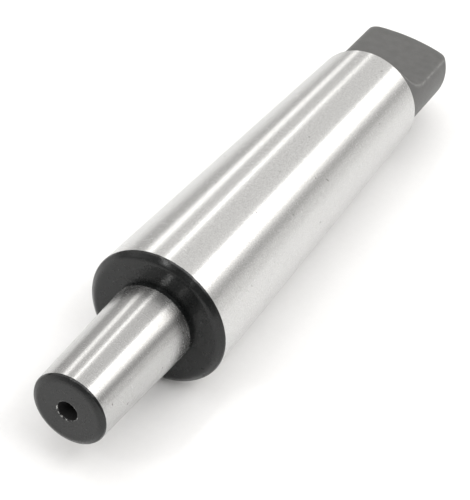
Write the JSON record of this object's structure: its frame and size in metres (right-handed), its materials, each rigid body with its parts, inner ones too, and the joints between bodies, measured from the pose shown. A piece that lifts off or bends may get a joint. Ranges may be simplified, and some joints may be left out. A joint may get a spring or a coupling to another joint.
{
  "type": "drill chuck arbor",
  "caption": "One-piece steel arbor with a ground Morse taper shank, a flat drive tang and a short ground taper nose for a drill chuck.",
  "frame": {"origin": "centre of the Morse gauge plane, on the bar's axis, where the ground shank is 23.825 mm in diameter", "axes": "+X along the bar's axis from the nose to the tang; +Z square to the tang's flats; +Y across the tang"},
  "size_m": [0.1174, 0.0238, 0.0238],
  "materials": {
    "ground_steel": "satin",
    "black_oxide": "satin",
    "tang_grey_oxide": "matte"
  },
  "bodies": {
    "root": {"drive_tang": "tang_grey_oxide", "morse_shank": "ground_steel", "shoulder": "black_oxide", "chuck_taper": "ground_steel", "nose_end": "black_oxide"}
  },
  "joints": []
}
